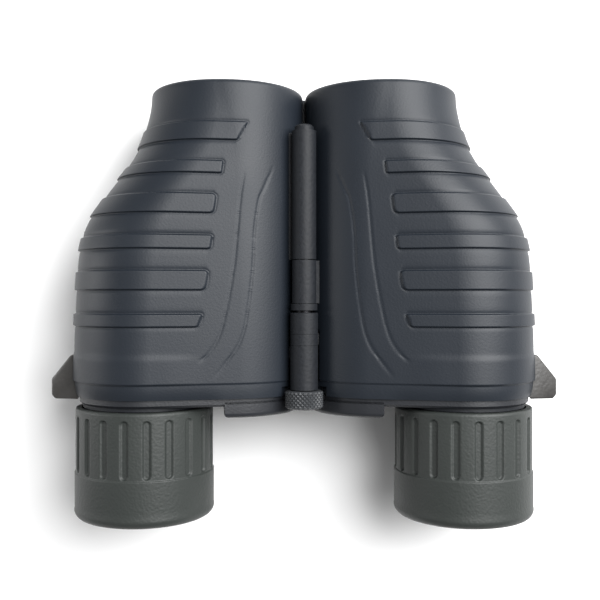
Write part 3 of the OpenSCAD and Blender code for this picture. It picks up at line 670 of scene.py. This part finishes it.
def knurl_nodes():
    """Pyramids in staggered rows round the Y axis."""
    tree = bpy.data.node_groups.new("diamond_knurl", "GeometryNodeTree")
    sockets = [("Geometry", "INPUT", "NodeSocketGeometry"), ("Around", "INPUT", "NodeSocketInt"),
               ("Rows", "INPUT", "NodeSocketInt"), ("Radius", "INPUT", "NodeSocketFloat"),
               ("Width", "INPUT", "NodeSocketFloat"), ("High", "INPUT", "NodeSocketFloat"),
               ("Pitch", "INPUT", "NodeSocketFloat"), ("Material", "INPUT", "NodeSocketMaterial"),
               ("Geometry", "OUTPUT", "NodeSocketGeometry")]
    for name, way, kind in sockets:
        tree.interface.new_socket(name=name, in_out=way, socket_type=kind)
    link = tree.links.new
    given, out = tree.nodes.new("NodeGroupInput"), tree.nodes.new("NodeGroupOutput")

    def maths(operation, *values):
        node = tree.nodes.new("ShaderNodeMath")
        node.operation = operation
        for socket, value in zip(node.inputs, values):
            if isinstance(value, (int, float)):
                socket.default_value = value
            else:
                link(value, socket)
        return node.outputs[0]

    count = maths("MULTIPLY", given.outputs["Around"], given.outputs["Rows"])
    index = tree.nodes.new("GeometryNodeInputIndex").outputs[0]
    row = maths("FLOOR", maths("DIVIDE", index, given.outputs["Around"]))
    column = maths("ADD", index, maths("MULTIPLY", maths("MODULO", row, 2.0), 0.5))
    angle = maths("MULTIPLY", maths("DIVIDE", column, given.outputs["Around"]), 2 * math.pi)
    middle = maths("MULTIPLY", maths("SUBTRACT", given.outputs["Rows"], 1.0), 0.5)
    place = tree.nodes.new("ShaderNodeCombineXYZ")
    link(maths("MULTIPLY", maths("SINE", angle), given.outputs["Radius"]), place.inputs["X"])
    link(maths("MULTIPLY", maths("SUBTRACT", row, middle), given.outputs["Pitch"]), place.inputs["Y"])
    link(maths("MULTIPLY", maths("COSINE", angle), given.outputs["Radius"]), place.inputs["Z"])
    points = tree.nodes.new("GeometryNodePoints")
    link(count, points.inputs["Count"])
    link(place.outputs[0], points.inputs["Position"])
    pyramid = tree.nodes.new("GeometryNodeMeshCone")
    pyramid.inputs["Vertices"].default_value = 4
    link(given.outputs["Width"], pyramid.inputs["Radius Bottom"])
    link(maths("MULTIPLY", given.outputs["Width"], KNURL_TIP), pyramid.inputs["Radius Top"])
    link(given.outputs["High"], pyramid.inputs["Depth"])
    turn = tree.nodes.new("ShaderNodeCombineXYZ")
    link(angle, turn.inputs["Y"])
    spread = tree.nodes.new("GeometryNodeInstanceOnPoints")
    link(points.outputs[0], spread.inputs["Points"])
    link(pyramid.outputs["Mesh"], spread.inputs["Instance"])
    link(turn.outputs[0], spread.inputs["Rotation"])
    real = tree.nodes.new("GeometryNodeRealizeInstances")
    link(spread.outputs[0], real.inputs[0])
    both = tree.nodes.new("GeometryNodeJoinGeometry")
    link(real.outputs[0], both.inputs[0])
    link(given.outputs["Geometry"], both.inputs[0])
    paint = tree.nodes.new("GeometryNodeSetMaterial")
    link(both.outputs[0], paint.inputs["Geometry"])
    link(given.outputs["Material"], paint.inputs["Material"])
    link(paint.outputs[0], out.inputs[0])
    return tree


def lathe_mesh(name, profile, steps=96):
    """A closed solid turned round the Y axis from (radius, y) points."""
    verts = [(r * math.sin(a), y, r * math.cos(a)) for r, y in profile
             for a in np.linspace(0, 2 * math.pi, steps, endpoint=False)]
    faces = [(j * steps + i, j * steps + (i + 1) % steps, (j + 1) * steps + (i + 1) % steps,
              (j + 1) * steps + i) for j in range(len(profile) - 1) for i in range(steps)]
    faces += [tuple(range(steps))[::-1], tuple(range(len(verts) - steps, len(verts)))]
    mesh = bpy.data.meshes.new(name)
    mesh.from_pydata(verts, [], faces)
    return mesh


core = knob_radius - KNURL_HIGH
half_knob = (knob_front - knob_rear) / 2
knob_edge, dish_deep, dish_side = 0.25 * MM, 0.5 * MM, 0.45 * MM
dish_floor, dish_wall, dish_rim = core * 0.35, core * 0.62, core * 0.68
knob_profile = [(dish_floor, -half_knob + dish_deep), (dish_wall, -half_knob + dish_side),
                (dish_rim, -half_knob), (core - knob_edge, -half_knob), (core, -half_knob + knob_edge),
                (core, half_knob - knob_edge), (core - knob_edge, half_knob), (dish_floor, half_knob)]
knob_mesh = lathe_mesh("knurled_knob", knob_profile)
knob_piece = bpy.data.objects.new("knurled_knob", knob_mesh)
bpy.context.scene.collection.objects.link(knob_piece)
knurl = knob_piece.modifiers.new("knurl", "NODES")
knurl.node_group = knurl_nodes()
knurl_pitch = math.pi * core / KNURL_AROUND
knurl_values = {"Around": KNURL_AROUND, "Rows": KNURL_ROWS, "Radius": core, "Width": knurl_pitch,
                "High": KNURL_HIGH, "Pitch": knurl_pitch, "Material": knurl_metal}
for item in knurl.node_group.interface.items_tree:
    if item.in_out == "INPUT" and item.name in knurl_values:
        knurl[item.identifier] = knurl_values[item.name]
knob_piece.data = bpy.data.meshes.new_from_object(
    knob_piece.evaluated_get(bpy.context.evaluated_depsgraph_get()))
knob_piece.modifiers.clear()
knob_piece.data.transform(Matrix.Translation((0, (knob_front + knob_rear) / 2, hinge_z * MM)))
normals = bmesh.new()
normals.from_mesh(knob_piece.data)
bmesh.ops.recalc_face_normals(normals, faces=normals.faces[:])
normals.to_mesh(knob_piece.data)
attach(knob_piece, "focus_wheel")
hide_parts("focus_knob")

# ---- Focus bridge ----
# A smooth dark tube slides on the hinge pin between the two barrels. The arm of the right eyepiece
# turns in the gap that it leaves, and its rear end runs up to the knob.
tube_low, tube_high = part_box("bridge_tube")
arm_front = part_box("right_eyepiece_carrier")[1].y / MM
arm_seam = (arm_front + 0.05, arm_front - 2.45)
tube_front, tube_end = tube_high.y / MM - 0.05, tube_low.y / MM - 0.7
tube_radius, tube_edge = tube_high.x / MM + 0.03, 0.12
neck = 2.36
bore = neck - 0.4
tube_profile = [(bore, tube_front), (tube_radius - tube_edge, tube_front),
                (tube_radius, tube_front - tube_edge), (tube_radius, arm_seam[0]), (neck, arm_seam[0]),
                (neck, arm_seam[1]), (tube_radius, arm_seam[1]), (tube_radius, tube_end + tube_edge),
                (tube_radius - tube_edge, tube_end), (bore, tube_end)]
tube_mesh = lathe_mesh("smooth_bridge", [(r * MM, y * MM) for r, y in tube_profile])
tube_mesh.transform(Matrix.Translation((0, 0, hinge_z * MM)))
tube_piece = bpy.data.objects.new("smooth_bridge", tube_mesh)
bpy.context.scene.collection.objects.link(tube_piece)
tube_mesh.shade_smooth()
tube_mesh.set_sharp_from_angle(angle=math.radians(30))
tube_mesh.materials.append(cast_plastic)
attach(tube_piece, "focus_bridge")
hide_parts("bridge_tube", "bridge_collar")

# ---- Gap lip ----
# A soft lip on the left armour closes the gap between the two tubes in front of the hinge.
# It belongs to the left barrel, so the right one swings away from it.
lip_low, lip_high = (-0.9, 37.0, obj_z - 7), (0.42, front - 0.4, obj_z - 2)
lip_piece = block(lip_low, lip_high)
lip_piece.name = "left_gap_lip"
bpy.context.scene.collection.objects.link(lip_piece)
lip_piece.data.materials.append(armour_rubber)
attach(lip_piece, "left_barrel")
